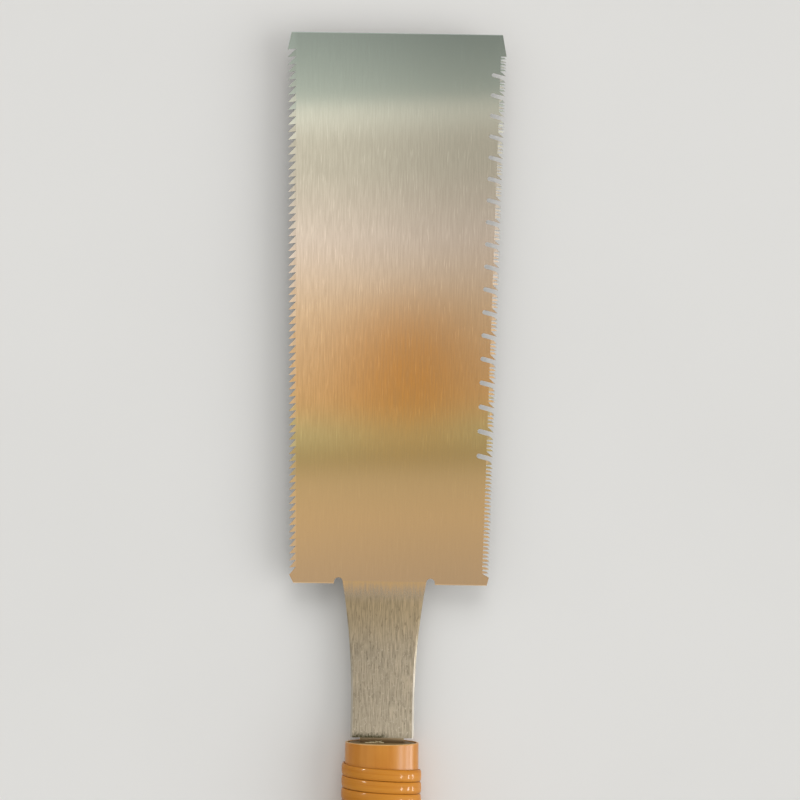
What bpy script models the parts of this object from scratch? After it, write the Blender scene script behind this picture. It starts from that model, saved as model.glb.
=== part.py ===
"""Ryoba saw: a pull saw with rip teeth on one edge and windowed crosscut teeth on the other.

The blade, its neck and its tang are one piece of steel. The tang sits in a handle of two wooden halves,
which a smooth collar and a wound strip hold together. Each piece is modelled round the handle's axis:
y = 0 is the plate's heel line, +Y points to the toe, +X to the crosscut edge, and z = 0 is the middle
of the steel. A station is a place along y. All sizes are in metres and all angles in radians.
"""

from math import atan, cos, pi, radians, sin, tan

import bmesh
import bpy
import numpy as np
from mathutils import Matrix, Vector

# Plate: the widths are across the tooth tips, at the heel line and at the toe line
PLATE_LENGTH = 0.2513
PLATE_THICKNESS = 0.0008
HEEL_WIDTH = 0.0910
TOE_WIDTH = 0.1002
PLATE_OFFSET = 0.00205

# Corners of the plate: length along the edge and depth in from the tip line
RIP_TOE_CORNER_LENGTH = 0.0081
RIP_TOE_CORNER_DEPTH = 0.0018
CROSSCUT_TOE_CORNER_LENGTH = 0.0098
CROSSCUT_TOE_CORNER_DEPTH = 0.0020
HEEL_CORNER_LENGTH = 0.0037
RIP_HEEL_CORNER_DEPTH = 0.0018
CROSSCUT_HEEL_CORNER_DEPTH = 0.0009

# Rip teeth, which grow from the heel to the toe
RIP_PITCH_HEEL = 0.0032
RIP_PITCH_TOE = 0.00345
RIP_DEPTH_HEEL = 0.0031
RIP_DEPTH_TOE = 0.0039
RIP_HOOK = radians(7)
RIP_SET = 0.00018

# Crosscut teeth, which grow from the toe to the heel
CROSSCUT_PITCH_HEEL = 0.00184
CROSSCUT_PITCH_TOE = 0.00131
CROSSCUT_DEPTH_HEEL = 0.00315
CROSSCUT_DEPTH_TOE = 0.00255
CROSSCUT_SET = 0.00014
CROSSCUT_FLEAM = radians(20)
# Shape of one crosscut tooth: along the edge in pitches, out from the root line in tooth depths
FRONT_LEAN = 0.04
BACK_ROOT = 0.68
SHOULDER_BACK = 0.52
SHOULDER_HEIGHT = 0.60

# Raker windows: slots with a round inner end, each behind a raker tooth
WINDOW_WIDTH_HEEL = 0.0023
WINDOW_WIDTH_TOE = 0.0017
WINDOW_DEPTH_HEEL = 0.0078
WINDOW_DEPTH_TOE = 0.0064
WINDOW_SLOPE = radians(14)
WINDOW_END_POINTS = 6
WINDOW_FREE_LENGTH = 0.0530
RAKER_BACK = radians(41.5)
RAKER_DROP = 0.0001
TEETH_BEFORE_WINDOWS = 6
TEETH_PER_WINDOW = 4
FIRST_TOOTH_LAND = 0.74
FIRST_TOOTH_SHOULDER = 0.55

# Neck and tang: the neck sweeps out to its root at the heel, where a round notch stands on each side,
# and ends in two square shoulders, from which the narrower tang runs into the handle
NECK_STRAIGHT_LENGTH = 0.0168
NECK_SWEEP_LENGTH = 0.0532
NECK_WIDTH = 0.0288
NECK_ROOT_WIDTH = 0.0378
NECK_THICKNESS = 0.0026
NECK_CHAMFER_WIDTH = 0.0008
NECK_CHAMFER_DEPTH = 0.0005
SWEEP_STEPS = 10
NOTCH_RADIUS = 0.00195
NOTCH_STRAIGHT = 0.00085
NOTCH_STEPS = 8
TANG_LENGTH = 0.1050
TANG_ROOT_WIDTH = 0.0200
TANG_END_WIDTH = 0.0080
TANG_END_THICKNESS = 0.0015
# The chamfer along the neck and tang takes at most this share of half their thickness
NECK_CHAMFER_LIMIT = 0.6

# Handle: oval, measured from the collar's front rim, which stands a little way behind the neck's shoulders.
# The cheeks are the wood beside the tang and over it, at the mouth, which lies just inside the rim
HANDLE_LENGTH = 0.3180
SHOULDER_GAP = 0.0020
SIDE_CHEEK = 0.00515
FACE_CHEEK = 0.0092
BUTT_WIDTH = 0.0365
BUTT_THICKNESS = 0.0270
BUTT_CHAMFER = 0.0020
MOUTH_RECESS = 0.0003
MOUTH_CHAMFER = 0.0006
GLUE_LINE = 0.0003
SOCKET_SIDE_GAP = 0.0004
SOCKET_END_GAP = 0.0015
SEAT_GAP = 0.0003
OVAL_SEGMENTS = 48

# Collar at the mouth
COLLAR_LENGTH = 0.0240
COLLAR_WALL = 0.0009
COLLAR_EDGE = 0.0002

# Winding: one strip with a crowned outer face
STRIP_WIDTH = 0.00505
STRIP_THICKNESS = 0.0010
STRIP_EDGE = 0.00045
STRIP_CROWN = 0.0024
TURN_GAP = 0.00045
WRAP_TURNS = 24
TURN_POINTS = 24
COLLAR_SHOW = 0.0107

# Sizes of the handle's front, which follow from the tang and are measured over the collar
FRONT_WIDTH = TANG_ROOT_WIDTH + 2 * (SOCKET_SIDE_GAP + SIDE_CHEEK + SEAT_GAP + COLLAR_WALL)
FRONT_THICKNESS = NECK_THICKNESS + 2 * (SEAT_GAP + FACE_CHEEK + SEAT_GAP + COLLAR_WALL)

# Stations that follow from the sizes above
SHOULDER = -NECK_STRAIGHT_LENGTH - NECK_SWEEP_LENGTH
TANG_END = SHOULDER - TANG_LENGTH
COLLAR_FRONT = SHOULDER - SHOULDER_GAP
COLLAR_REAR = COLLAR_FRONT - COLLAR_LENGTH
MOUTH = COLLAR_FRONT - MOUTH_RECESS
BUTT = COLLAR_FRONT - HANDLE_LENGTH
WRAP_PITCH = STRIP_WIDTH + TURN_GAP
WRAP_START = COLLAR_FRONT - COLLAR_SHOW - STRIP_WIDTH / 2 + WRAP_PITCH / 2
WRAP_END = WRAP_START - WRAP_TURNS * WRAP_PITCH

# Edges that turn by more than these angles stay sharp, or get rounded
SHARP_ANGLE = radians(35)
RIM_ANGLE = radians(60)
CUT_TOLERANCE = 1e-7

# Colours, with roughness and metallic value
STEEL = ((0.56, 0.53, 0.47, 1.0), 0.32, 1.0)
WOOD = ((0.60, 0.42, 0.24, 1.0), 0.55, 0.0)
COLLAR_ORANGE = ((0.62, 0.27, 0.06, 1.0), 0.30, 0.0)
STRIP_ORANGE = ((0.58, 0.25, 0.05, 1.0), 0.35, 0.0)


def between(start, end, share):
    return start + (end - start) * share


def along_plate(heel_size, toe_size, station):
    """A size that changes evenly from the heel line to the toe line."""
    return between(heel_size, toe_size, station / PLATE_LENGTH)


def new_material(name, finish):
    colour, roughness, metallic = finish
    material = bpy.data.materials.new(name)
    material.use_nodes = True
    shader = material.node_tree.nodes["Principled BSDF"]
    shader.inputs["Base Color"].default_value = colour
    shader.inputs["Roughness"].default_value = roughness
    shader.inputs["Metallic"].default_value = metallic
    material.diffuse_color = colour
    return material


def add_object(name, data, collection, parent):
    thing = bpy.data.objects.new(name, data)
    collection.objects.link(thing)
    thing.parent = parent
    return thing


def finish_mesh(bm, name):
    """Turn a bmesh into a mesh with its faces pointing out."""
    bmesh.ops.recalc_face_normals(bm, faces=bm.faces)
    mesh = bpy.data.meshes.new(name)
    bm.to_mesh(mesh)
    bm.free()
    return mesh


class ToothedEdge:
    """One long edge of the plate: turns a station and a height over the tooth roots into a point."""

    def __init__(self, side, depth_heel, depth_toe):
        self.side = side
        self.depth_heel = depth_heel
        self.depth_toe = depth_toe

    def depth(self, station):
        return along_plate(self.depth_heel, self.depth_toe, station)

    def point(self, station, height=0.0):
        tip_half_width = along_plate(HEEL_WIDTH, TOE_WIDTH, station) / 2
        across = tip_half_width - self.depth(station) + height
        return Vector((PLATE_OFFSET + self.side * across, station, 0.0))

    def tip(self, station):
        return self.point(station, self.depth(station))

    def corner(self, station, depth_in):
        return self.point(station, self.depth(station) - depth_in)


RIP_EDGE = ToothedEdge(-1, RIP_DEPTH_HEEL, RIP_DEPTH_TOE)
CROSSCUT_EDGE = ToothedEdge(1, CROSSCUT_DEPTH_HEEL, CROSSCUT_DEPTH_TOE)


def graded_stations(start, end, pitch_start, pitch_end):
    """Stations from start to end whose spacing changes evenly from one pitch to the other."""
    mean_pitch = (pitch_start + pitch_end) / 2
    count = max(2, round(abs(end - start) / mean_pitch))
    stations = []
    for index in range(count + 1):
        share = index / count
        travel = (pitch_start + (pitch_end - pitch_start) * share / 2) * share / mean_pitch
        stations.append(between(start, end, travel))
    return stations


class SteelSheet:
    """The flat under side of the blade, whose points keep their own thickness, set and bevel."""

    def __init__(self):
        self.bm = bmesh.new()
        self.half = self.bm.verts.layers.float.new("half_thickness")
        self.lean = self.bm.verts.layers.float.new("set")
        self.bevel = self.bm.verts.layers.float_vector.new("bevel")

    def add(self, point, half=PLATE_THICKNESS / 2, lean=0.0, bevel=(0.0, 0.0, 0.0)):
        vert = self.bm.verts.new(point)
        vert[self.half] = half
        vert[self.lean] = lean
        vert[self.bevel] = bevel
        return vert

    def thicken(self):
        """Raise the upper side, bend the teeth to their set and file each tooth's inner face."""
        raised = bmesh.ops.extrude_face_region(self.bm, geom=self.bm.faces[:])
        upper = {item for item in raised["geom"] if isinstance(item, bmesh.types.BMVert)}
        for vert in self.bm.verts:
            side = 1 if vert in upper else -1
            if side * vert[self.lean] < 0:
                vert.co += vert[self.bevel]
            vert.co.z = side * vert[self.half] + vert[self.lean]
        bmesh.ops.triangulate(self.bm, faces=self.bm.faces)


def rip_teeth(sheet):
    """Add the rip teeth and return the plate's outline along them, from heel to toe."""
    edge = RIP_EDGE
    first_tip = HEEL_CORNER_LENGTH
    last_tip = PLATE_LENGTH - RIP_TOE_CORNER_LENGTH
    tips = graded_stations(first_tip, last_tip, RIP_PITCH_HEEL, RIP_PITCH_TOE)
    roots = [sheet.add(edge.point(tip + edge.depth(tip) * tan(RIP_HOOK))) for tip in tips[1:]]
    for index, tip in enumerate(tips[1:-1]):
        lean = RIP_SET * (-1) ** index
        point = sheet.add(edge.tip(tip), lean=lean)
        sheet.bm.faces.new((roots[index], point, roots[index + 1]))
    print(f"rip edge: {len(tips)} teeth")
    heel_corner = sheet.add(edge.corner(0.0, RIP_HEEL_CORNER_DEPTH))
    toe_corner = sheet.add(edge.corner(PLATE_LENGTH, RIP_TOE_CORNER_DEPTH))
    heel_tip = sheet.add(edge.tip(first_tip))
    toe_tip = sheet.add(edge.tip(last_tip))
    return [heel_corner, heel_tip, *roots, toe_tip, toe_corner]


class CrosscutRow:
    """Walks along the crosscut edge from toe to heel, adding teeth and raker windows."""

    def __init__(self, sheet, toe_tip):
        self.sheet = sheet
        self.edge = CROSSCUT_EDGE
        self.tip = toe_tip
        self.teeth = 0
        self.windows = 0
        self.outline = [sheet.add(self.edge.tip(toe_tip))]
        self.end_tooth()

    def pitch(self):
        return along_plate(CROSSCUT_PITCH_HEEL, CROSSCUT_PITCH_TOE, self.tip)

    def end_tooth(self):
        """Put the root of this tooth's front face, where the gap to the next tooth starts."""
        root = self.edge.point(self.tip - FRONT_LEAN * self.pitch())
        self.outline.append(self.sheet.add(root))

    def add_tooth(self, tip, shoulder_point=None):
        """One cutting tooth, filed to a point on its outer face. The next root closes it."""
        self.tip = tip
        depth = self.edge.depth(tip)
        lean = CROSSCUT_SET * (-1) ** self.teeth
        filed = PLATE_THICKNESS * tan(CROSSCUT_FLEAM)
        if shoulder_point is None:
            station = tip + SHOULDER_BACK * self.pitch()
            shoulder_point = self.edge.point(station, depth * SHOULDER_HEIGHT)
            self.outline.append(self.sheet.add(self.edge.point(tip + BACK_ROOT * self.pitch())))
        back_root = self.outline[-1]
        shoulder = self.sheet.add(
            shoulder_point,
            lean=lean * SHOULDER_HEIGHT,
            bevel=(-filed * SHOULDER_HEIGHT, -filed / 2, 0.0),
        )
        point = self.sheet.add(self.edge.tip(tip), lean=lean, bevel=(-filed, filed / 2, 0.0))
        self.end_tooth()
        self.sheet.bm.faces.new((back_root, shoulder, point, self.outline[-1]))
        self.teeth += 1

    def add_window(self):
        """A raker tooth and the slot behind it, then the first tooth on the slot's far side."""
        edge = self.edge
        raker_root = self.outline[-1]
        depth = edge.depth(raker_root.co.y)
        raker_tip = raker_root.co.y - depth * tan(RAKER_BACK)
        width = along_plate(WINDOW_WIDTH_HEEL, WINDOW_WIDTH_TOE, raker_tip)
        mouth = width / cos(WINDOW_SLOPE)

        near_wall = self.sheet.add(edge.point(raker_tip + depth * tan(WINDOW_SLOPE)))
        tip_point = self.sheet.add(edge.point(raker_tip, depth - RAKER_DROP))
        self.sheet.bm.faces.new((raker_root, tip_point, near_wall))
        self.outline.append(near_wall)

        inward = Vector((-cos(WINDOW_SLOPE), sin(WINDOW_SLOPE), 0.0))
        toeward = Vector((sin(WINDOW_SLOPE), cos(WINDOW_SLOPE), 0.0))
        reach = along_plate(WINDOW_DEPTH_HEEL, WINDOW_DEPTH_TOE, raker_tip) - width / 2
        centre = edge.tip(raker_tip - mouth / 2) + inward * (reach / cos(WINDOW_SLOPE))
        for step in range(WINDOW_END_POINTS + 1):
            turn = pi * step / WINDOW_END_POINTS
            offset = (toeward * cos(turn) + inward * sin(turn)) * (width / 2)
            self.outline.append(self.sheet.add(centre + offset))

        far_wall = raker_tip - mouth + depth * tan(WINDOW_SLOPE)
        self.outline.append(self.sheet.add(edge.point(far_wall)))
        shoulder_drop = depth * FIRST_TOOTH_SHOULDER * tan(WINDOW_SLOPE)
        shoulder = edge.point(far_wall - shoulder_drop, depth * FIRST_TOOTH_SHOULDER)
        self.add_tooth(raker_tip - mouth - FIRST_TOOTH_LAND * self.pitch(), shoulder)
        self.windows += 1


def crosscut_teeth(sheet):
    """Add the crosscut teeth and return the plate's outline along them, from toe to heel."""
    edge = CROSSCUT_EDGE
    row = CrosscutRow(sheet, PLATE_LENGTH - CROSSCUT_TOE_CORNER_LENGTH)
    for _ in range(TEETH_BEFORE_WINDOWS - 1):
        row.add_tooth(row.tip - row.pitch())
    row.add_window()
    while row.tip - (TEETH_PER_WINDOW - 1) * row.pitch() > WINDOW_FREE_LENGTH:
        for _ in range(TEETH_PER_WINDOW - 1):
            row.add_tooth(row.tip - row.pitch())
        row.add_window()

    heel_tip = HEEL_CORNER_LENGTH
    plain_tips = graded_stations(row.tip, heel_tip, row.pitch(), CROSSCUT_PITCH_HEEL)
    for tip in plain_tips[1:-1]:
        row.add_tooth(tip)
    toe_corner = sheet.add(edge.corner(PLATE_LENGTH, CROSSCUT_TOE_CORNER_DEPTH))
    heel_point = sheet.add(edge.tip(heel_tip))
    heel_corner = sheet.add(edge.corner(0.0, CROSSCUT_HEEL_CORNER_DEPTH))
    print(f"crosscut edge: {row.teeth} cutting teeth and {row.windows} raker windows")
    return [toe_corner, *row.outline, heel_point, heel_corner]


def neck_half_width(station):
    """Half the neck's width: straight at the handle, then sweeping out to the root at the heel."""
    swept = max(0.0, 1 + station / NECK_SWEEP_LENGTH)
    return NECK_WIDTH / 2 + (NECK_ROOT_WIDTH - NECK_WIDTH) / 2 * swept**2


# The notch's arc leaves the neck's edge along the same line, a little above the heel
NECK_ROOT_LEAN = atan((NECK_ROOT_WIDTH - NECK_WIDTH) / NECK_SWEEP_LENGTH)
NECK_ROOT = NOTCH_STRAIGHT + NOTCH_RADIUS * sin(NECK_ROOT_LEAN)


def tang_share(station):
    """How far a station lies along the tang, from 0 at the shoulders to 1 at its end."""
    return (SHOULDER - station) / TANG_LENGTH


def tang_half_width(station):
    return between(TANG_ROOT_WIDTH, TANG_END_WIDTH, tang_share(station)) / 2


def tang_half_thickness(station):
    return between(NECK_THICKNESS, TANG_END_THICKNESS, tang_share(station)) / 2


def chamfered_row(sheet, station, half_width, half, chamfer_share):
    """Four points across the neck or tang: its edges, and the inner lines of their chamfers."""
    edge_half = half - min(NECK_CHAMFER_DEPTH, half * NECK_CHAMFER_LIMIT) * chamfer_share
    inner = half_width - NECK_CHAMFER_WIDTH
    places = ((-half_width, edge_half), (-inner, half), (inner, half), (half_width, edge_half))
    return [sheet.add((across, station, 0.0), half=thick) for across, thick in places]


def neck_and_tang(sheet):
    """Add the neck and tang from the heel to the tang's end, and return their first row of points."""
    sweep = [between(NECK_ROOT, -NECK_SWEEP_LENGTH, step / SWEEP_STEPS) for step in range(SWEEP_STEPS + 1)]
    neck = []
    for station in [*sweep, SHOULDER]:
        share = (NECK_ROOT - station) / (NECK_ROOT - SHOULDER)
        half = between(PLATE_THICKNESS, NECK_THICKNESS, share) / 2
        neck.append(chamfered_row(sheet, station, neck_half_width(station), half, share))
    # The tang's edges are square where they leave the shoulders, and chamfered at its end
    tang = []
    for station in (SHOULDER, TANG_END):
        sizes = (tang_half_width(station), tang_half_thickness(station))
        tang.append(chamfered_row(sheet, station, *sizes, tang_share(station)))

    for upper, lower in (*zip(neck, neck[1:]), tang):
        for column in range(len(upper) - 1):
            corners = [upper[column], upper[column + 1], lower[column + 1], lower[column]]
            if lower is neck[-1] and column == 1:
                corners[3:3] = reversed(tang[0])
            sheet.bm.faces.new(corners)
    return neck[0]


def notch(sheet, side):
    """The round notch beside the neck's root, from the heel line to just short of the neck."""
    across = neck_half_width(NECK_ROOT) + NOTCH_RADIUS * cos(NECK_ROOT_LEAN)
    points = [sheet.add((side * (across + NOTCH_RADIUS), 0.0, 0.0))]
    for step in range(NOTCH_STEPS):
        turn = between(0.0, pi - NECK_ROOT_LEAN, step / NOTCH_STEPS)
        out = across + NOTCH_RADIUS * cos(turn)
        points.append(sheet.add((side * out, NOTCH_STRAIGHT + NOTCH_RADIUS * sin(turn), 0.0)))
    return points


def make_blade():
    sheet = SteelSheet()
    rip_outline = rip_teeth(sheet)
    crosscut_outline = crosscut_teeth(sheet)
    neck_row = neck_and_tang(sheet)
    rip_notch = notch(sheet, -1)
    crosscut_notch = notch(sheet, 1)
    heel = [*crosscut_notch, *reversed(neck_row), *reversed(rip_notch)]
    sheet.bm.faces.new([*rip_outline, *crosscut_outline, *heel])
    sheet.thicken()
    return finish_mesh(sheet.bm, "saw_blade")


def handle_half_sizes(station, inset=0.0):
    """Half width and half thickness of the handle's outer oval, less an inset."""
    share = (COLLAR_FRONT - station) / (COLLAR_FRONT - BUTT)
    half_width = between(FRONT_WIDTH, BUTT_WIDTH, share) / 2
    half_thickness = between(FRONT_THICKNESS, BUTT_THICKNESS, share) / 2
    return half_width - inset, half_thickness - inset


def oval_loft(bm, stations):
    """Draw an oval out through (station, inset) along the handle, and return its two end rings."""
    start, inset = stations[0]
    sizes = handle_half_sizes(start, inset)
    place = Matrix.Translation((0.0, start, 0.0)) @ Matrix.Rotation(pi / 2, 4, "X")
    shape = place @ Matrix.Diagonal((*sizes, 1.0, 1.0))
    made = bmesh.ops.create_circle(bm, segments=OVAL_SEGMENTS, radius=1.0, matrix=shape)
    first_ring = list({edge for vert in made["verts"] for edge in vert.link_edges})
    ring = first_ring
    for station, inset in stations[1:]:
        new_sizes = handle_half_sizes(station, inset)
        grown = bmesh.ops.extrude_edge_only(bm, edges=ring)["geom"]
        ring = [item for item in grown if isinstance(item, bmesh.types.BMEdge)]
        for vert in {vert for edge in ring for vert in edge.verts}:
            vert.co.x *= new_sizes[0] / sizes[0]
            vert.co.y = station
            vert.co.z *= new_sizes[1] / sizes[1]
        sizes = new_sizes
    return first_ring, ring


def make_core_half(name, side):
    """One half of the wooden handle, cut flat at the glue line."""
    tenon_inset = COLLAR_WALL + SEAT_GAP
    collar_seat = COLLAR_REAR - SEAT_GAP
    bm = bmesh.new()
    ends = oval_loft(
        bm,
        [
            (MOUTH, tenon_inset + MOUTH_CHAMFER),
            (MOUTH - MOUTH_CHAMFER, tenon_inset),
            (collar_seat, tenon_inset),
            (collar_seat, 0.0),
            (WRAP_END, 0.0),
            (BUTT + BUTT_CHAMFER, 0.0),
            (BUTT, BUTT_CHAMFER),
        ],
    )
    for ring in ends:
        bmesh.ops.contextual_create(bm, geom=ring)
    everything = [*bm.verts, *bm.edges, *bm.faces]
    cut = bmesh.ops.bisect_plane(
        bm,
        geom=everything,
        dist=CUT_TOLERANCE,
        plane_co=(0.0, 0.0, side * GLUE_LINE / 2),
        plane_no=(0.0, 0.0, side),
        clear_inner=True,
    )
    rim = [item for item in cut["geom_cut"] if isinstance(item, bmesh.types.BMEdge)]
    bmesh.ops.contextual_create(bm, geom=rim)
    mesh = finish_mesh(bm, name)
    mesh.shade_smooth()
    mesh.set_sharp_from_angle(angle=SHARP_ANGLE)
    return mesh


def make_socket_cutter():
    """The hollow for the tang: the tang's own taper with room all round, open at the mouth."""
    bm = bmesh.new()
    made = bmesh.ops.create_cube(bm, size=2.0)
    for vert in made["verts"]:
        across, along, up = vert.co
        station = SHOULDER if along > 0 else TANG_END - SOCKET_END_GAP
        half_width = tang_half_width(station) + SOCKET_SIDE_GAP
        half_thickness = tang_half_thickness(station) + SEAT_GAP
        vert.co = (across * half_width, station, up * half_thickness)
    return finish_mesh(bm, "tang_socket_cutter")


def make_collar():
    """The sleeve's outer wall, which gets its thickness inwards."""
    bm = bmesh.new()
    oval_loft(bm, [(COLLAR_FRONT, 0.0), (COLLAR_REAR, 0.0)])
    mesh = finish_mesh(bm, "front_collar")
    mesh.shade_smooth()
    mesh.set_sharp_from_angle(angle=SHARP_ANGLE)
    return mesh


def new_curve(name, points, dimensions, cyclic=False):
    curve = bpy.data.curves.new(name, "CURVE")
    curve.dimensions = dimensions
    spline = curve.splines.new("POLY")
    spline.points.add(len(points) - 1)
    for spline_point, point in zip(spline.points, points):
        spline_point.co = (*point, 1.0)
    spline.use_cyclic_u = cyclic
    return curve


def strip_profile():
    """Section of the strip: flat underneath, thin at the edges and crowned on the outside."""
    half = STRIP_WIDTH / 2
    crown = STRIP_CROWN / 2
    section = [
        (0.0, -half),
        (STRIP_EDGE, -half),
        (STRIP_THICKNESS, -crown),
        (STRIP_THICKNESS, crown),
        (STRIP_EDGE, half),
        (0.0, half),
    ]
    return [(-out, across, 0.0) for out, across in section]


def strip_route():
    """Points of the winding, which starts under the handle and runs towards the butt."""
    points = []
    for step in range(WRAP_TURNS * TURN_POINTS + 1):
        turn = step / TURN_POINTS
        station = WRAP_START - turn * WRAP_PITCH
        half_width, half_thickness = handle_half_sizes(station, -SEAT_GAP)
        angle = -pi / 2 - 2 * pi * turn
        points.append((half_width * cos(angle), half_thickness * sin(angle), -station))
    return points


def least_turn_gap(wrap, section_points):
    """Shortest distance from a point of one turn to a point of the next."""
    graph = bpy.context.evaluated_depsgraph_get()
    mesh = wrap.evaluated_get(graph).to_mesh()
    rings = WRAP_TURNS * TURN_POINTS + 1
    points = np.array([vertex.co for vertex in mesh.vertices])[: rings * section_points]
    points = points.reshape(rings, section_points, 3)
    least = np.inf
    for offset in (-1, 0, 1):
        step = TURN_POINTS + offset
        apart = points[:-step, :, None, :] - points[step:, None, :, :]
        least = min(least, np.linalg.norm(apart, axis=-1).min())
    return least


def main():
    for thing in list(bpy.data.objects):
        bpy.data.objects.remove(thing, do_unlink=True)
    parts = bpy.data.collections.new("ryoba_saw")
    cutters = bpy.data.collections.new("ryoba_saw_cutters")
    for collection in (parts, cutters):
        bpy.context.scene.collection.children.link(collection)

    # The saw lies flat: its lowest point is the winding's last turn or the butt, whichever is thicker
    under_wrap = handle_half_sizes(WRAP_END, -SEAT_GAP - STRIP_THICKNESS)[1]
    lowest = max(under_wrap, BUTT_THICKNESS / 2)
    frame = add_object("saw_frame", None, parts, None)
    frame.location = (0.0, -(PLATE_LENGTH + BUTT) / 2, lowest)

    blade = add_object("saw_blade", make_blade(), parts, frame)
    blade.data.materials.append(new_material("brushed_steel", STEEL))

    socket = add_object("tang_socket_cutter", make_socket_cutter(), cutters, frame)
    wood = new_material("handle_wood", WOOD)
    for name, side in (("handle_core_upper", 1), ("handle_core_lower", -1)):
        half = add_object(name, make_core_half(name, side), parts, frame)
        half.data.materials.append(wood)
        cut = half.modifiers.new("tang_socket", "BOOLEAN")
        cut.operation = "DIFFERENCE"
        cut.object = socket

    collar = add_object("front_collar", make_collar(), parts, frame)
    collar.data.materials.append(new_material("collar_orange", COLLAR_ORANGE))
    wall = collar.modifiers.new("wall", "SOLIDIFY")
    wall.thickness = COLLAR_WALL
    wall.offset = -1.0
    rounding = collar.modifiers.new("rim", "BEVEL")
    rounding.width = COLLAR_EDGE
    rounding.segments = 1
    rounding.limit_method = "ANGLE"
    rounding.angle_limit = RIM_ANGLE

    section = strip_profile()
    profile = add_object("strip_section", new_curve("strip_section", section, "2D", True), cutters, frame)
    route = new_curve("rattan_wrap", strip_route(), "3D")
    route.bevel_mode = "OBJECT"
    route.bevel_object = profile
    route.use_fill_caps = True
    route.twist_mode = "Z_UP"
    wrap = add_object("rattan_wrap", route, parts, frame)
    wrap.rotation_euler.x = pi / 2
    wrap.data.materials.append(new_material("rattan_orange", STRIP_ORANGE))

    for helper in (socket, profile):
        helper.hide_render = True
        helper.display_type = "WIRE"
    bpy.context.view_layer.update()
    print(f"least gap between turns: {least_turn_gap(wrap, len(section)) * 1000:.3f} mm")


main()
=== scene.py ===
# %% [markdown]
# # A ryoba saw, finished in Blender
#
# A ryoba is a pull saw with two toothed edges: large rip teeth on the left of the plate, and fine
# crosscut teeth with raker windows on the right. The construction model gives every part its place and
# size. This lesson adds what the eye sees: ground steel, a wound and lacquered handle, light and a camera.
# Everything is in metres. +Y runs from the butt to the toe, +X to the crosscut edge, and +Z up.

import random
from math import atan2, copysign, cos, hypot, pi, radians, sin

import bmesh
import bpy
from mathutils import Matrix, Vector, noise


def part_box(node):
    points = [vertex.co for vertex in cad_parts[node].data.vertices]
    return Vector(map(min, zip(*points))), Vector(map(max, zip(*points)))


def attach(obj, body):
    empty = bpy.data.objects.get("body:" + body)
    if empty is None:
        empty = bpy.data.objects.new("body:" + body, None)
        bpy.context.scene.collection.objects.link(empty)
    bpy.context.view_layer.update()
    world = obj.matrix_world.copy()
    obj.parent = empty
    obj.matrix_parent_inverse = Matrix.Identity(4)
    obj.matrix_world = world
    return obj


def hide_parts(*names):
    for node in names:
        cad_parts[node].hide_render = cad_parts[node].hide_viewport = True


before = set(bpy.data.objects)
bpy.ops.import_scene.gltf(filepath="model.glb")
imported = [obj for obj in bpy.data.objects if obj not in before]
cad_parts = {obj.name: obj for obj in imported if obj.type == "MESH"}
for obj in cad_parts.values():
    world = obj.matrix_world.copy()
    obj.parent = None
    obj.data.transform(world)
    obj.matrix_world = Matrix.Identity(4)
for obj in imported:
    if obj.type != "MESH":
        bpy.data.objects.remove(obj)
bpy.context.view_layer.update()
scene = bpy.context.scene
scene.view_settings.view_transform = "Standard"
print("pieces of the construction:", sorted(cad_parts))

# %% [markdown]
# ## Where things are
#
# A finish that changes along the saw needs to know where the plate ends and the neck starts. These places
# are read from the boxes of the construction's pieces, so they follow it if a size changes. Only the
# lengths of the plate and the neck are written here, because both share one box with the tang.

# %% Landmarks of the saw
PLATE_LENGTH = 0.2513
NECK_LENGTH = 0.0700

blade_low, blade_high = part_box("saw_blade")
wood_low, wood_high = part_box("handle_core_upper")
collar_low, collar_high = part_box("front_collar")
winding_low, winding_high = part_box("rattan_wrap")

TOE = blade_high.y
HEEL = TOE - PLATE_LENGTH
SHOULDER = HEEL - NECK_LENGTH
RIM = collar_high.y
BUTT = wood_low.y
AXIS_HEIGHT = (blade_low.z + blade_high.z) / 2
print(f"toe {TOE:.4f}, heel {HEEL:.4f}, shoulder {SHOULDER:.4f}, rim {RIM:.4f}, butt {BUTT:.4f}")

# %% [markdown]
# ## The camera
#
# The photograph looks straight down on the plate from about 1.35 m, with the saw turned a little
# clockwise in the frame. A long lens from that height shows almost no perspective. Turning the camera
# about its own axis gives the same tilt as turning the saw, and leaves the saw where it is.

# %% Camera
CAMERA_HEIGHT = 1.35
VIEW_WIDTH = 0.36504
VIEW_ASIDE = 0.0058
VIEW_PAST_HEEL = 0.0841
VIEW_CENTRE = Vector((VIEW_ASIDE, HEEL + VIEW_PAST_HEEL, AXIS_HEIGHT))
VIEW_TURN = radians(0.9)
SENSOR_WIDTH = 36.0

camera_data = bpy.data.cameras.new("camera")
camera_data.sensor_fit = "HORIZONTAL"
camera_data.sensor_width = SENSOR_WIDTH
camera_data.lens = SENSOR_WIDTH * CAMERA_HEIGHT / VIEW_WIDTH
camera = bpy.data.objects.new("camera", camera_data)
camera.location = VIEW_CENTRE + Vector((0.0, 0.0, CAMERA_HEIGHT))
camera.rotation_euler = (0.0, 0.0, VIEW_TURN)
scene.collection.objects.link(camera)
scene.camera = camera
print(f"lens {camera_data.lens:.1f} mm, {CAMERA_HEIGHT} m above the plate")

# %% [markdown]
# ## Short words for shader nodes
#
# A procedural finish is a small tree of nodes. Written out in full, each node takes four or five lines, so
# a few helpers make the trees below readable. The first ones work on numbers: one adds a node and fills its
# inputs, one does arithmetic, one turns a range of values into a soft mask, one passes from one value to
# another, and one takes a vector apart.

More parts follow.
